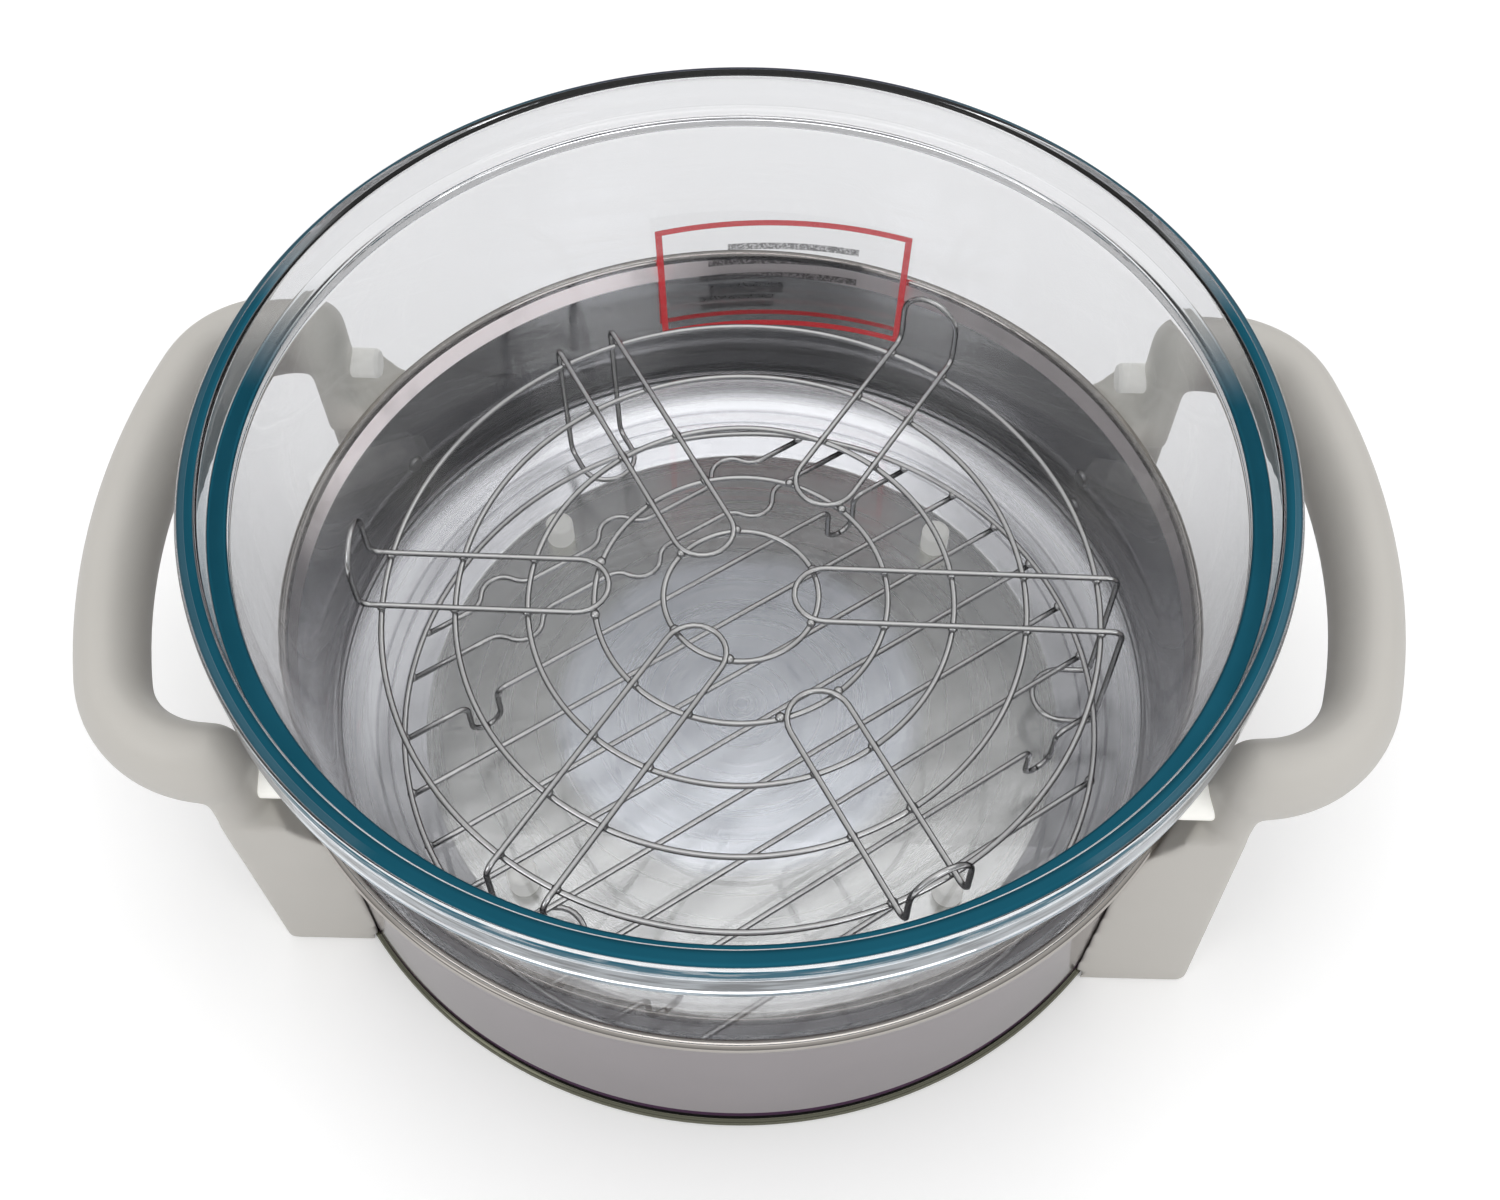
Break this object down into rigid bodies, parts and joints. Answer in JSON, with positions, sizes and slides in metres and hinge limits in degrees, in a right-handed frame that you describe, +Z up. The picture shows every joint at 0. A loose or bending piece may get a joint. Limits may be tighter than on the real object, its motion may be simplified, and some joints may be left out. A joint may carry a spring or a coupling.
{
  "type": "halogen oven",
  "caption": "Glass halogen-oven bowl in a polished steel ring stand with two ivory D handles, holding two chrome wire racks.",
  "frame": {"origin": "middle of the bounding box on the table", "axes": "+X to the right handle, +Y to the back, +Z up out of the bowl"},
  "size_m": [0.428, 0.34, 0.172],
  "materials": {
    "bowl_glass": "gloss",
    "polished_steel": "polished",
    "pan_steel": "polished",
    "rack_wire": "polished",
    "screw_steel": "satin",
    "handle_plastic": "satin",
    "white_rubber": "matte",
    "panel_print": "gloss"
  },
  "bodies": {
    "stand": {"steel_band": "polished_steel", "base_pan": "pan_steel", "bowl_pad_front_left": "white_rubber", "bowl_pad_front_right": "white_rubber", "bowl_pad_rear_left": "white_rubber", "bowl_pad_rear_right": "white_rubber", "handle_left": "handle_plastic", "handle_right": "handle_plastic", "handle_screws": "screw_steel", "bumper_front_left": "white_rubber", "bumper_front_right": "white_rubber", "bumper_rear_left": "white_rubber", "bumper_rear_right": "white_rubber"},
    "bowl": {"glass_bowl": "bowl_glass", "panel_film": "panel_print"},
    "upper_rack": {"upper_ring_1": "rack_wire", "upper_ring_2": "rack_wire", "upper_ring_3": "rack_wire", "upper_ring_4": "rack_wire", "upper_ring_5": "rack_wire", "upper_leg_right": "rack_wire", "upper_leg_rear": "rack_wire", "upper_leg_front": "rack_wire", "upper_loop_left": "rack_wire", "upper_loop_rear": "rack_wire", "upper_loop_front": "rack_wire"},
    "lower_rack": {"lower_ring": "rack_wire", "lower_foot_wire_rear": "rack_wire", "lower_foot_wire_front": "rack_wire", "lower_wire_1": "rack_wire", "lower_wire_2": "rack_wire", "lower_wire_3": "rack_wire", "lower_wire_4": "rack_wire", "lower_wire_5": "rack_wire", "lower_wire_6": "rack_wire", "lower_egg_wire_inner": "rack_wire", "lower_egg_wire_outer": "rack_wire"}
  },
  "joints": [
    {"name": "bowl_lift", "type": "slide", "parent": "stand", "child": "bowl", "axis": [0, 0, 1], "range_m": [0, 0.16]},
    {"name": "upper_rack_lift", "type": "slide", "parent": "bowl", "child": "upper_rack", "axis": [0, 0, 1], "range_m": [0, 0.18]},
    {"name": "lower_rack_lift", "type": "slide", "parent": "upper_rack", "child": "lower_rack", "axis": [0, 0, 1], "range_m": [0, 0.033]}
  ]
}
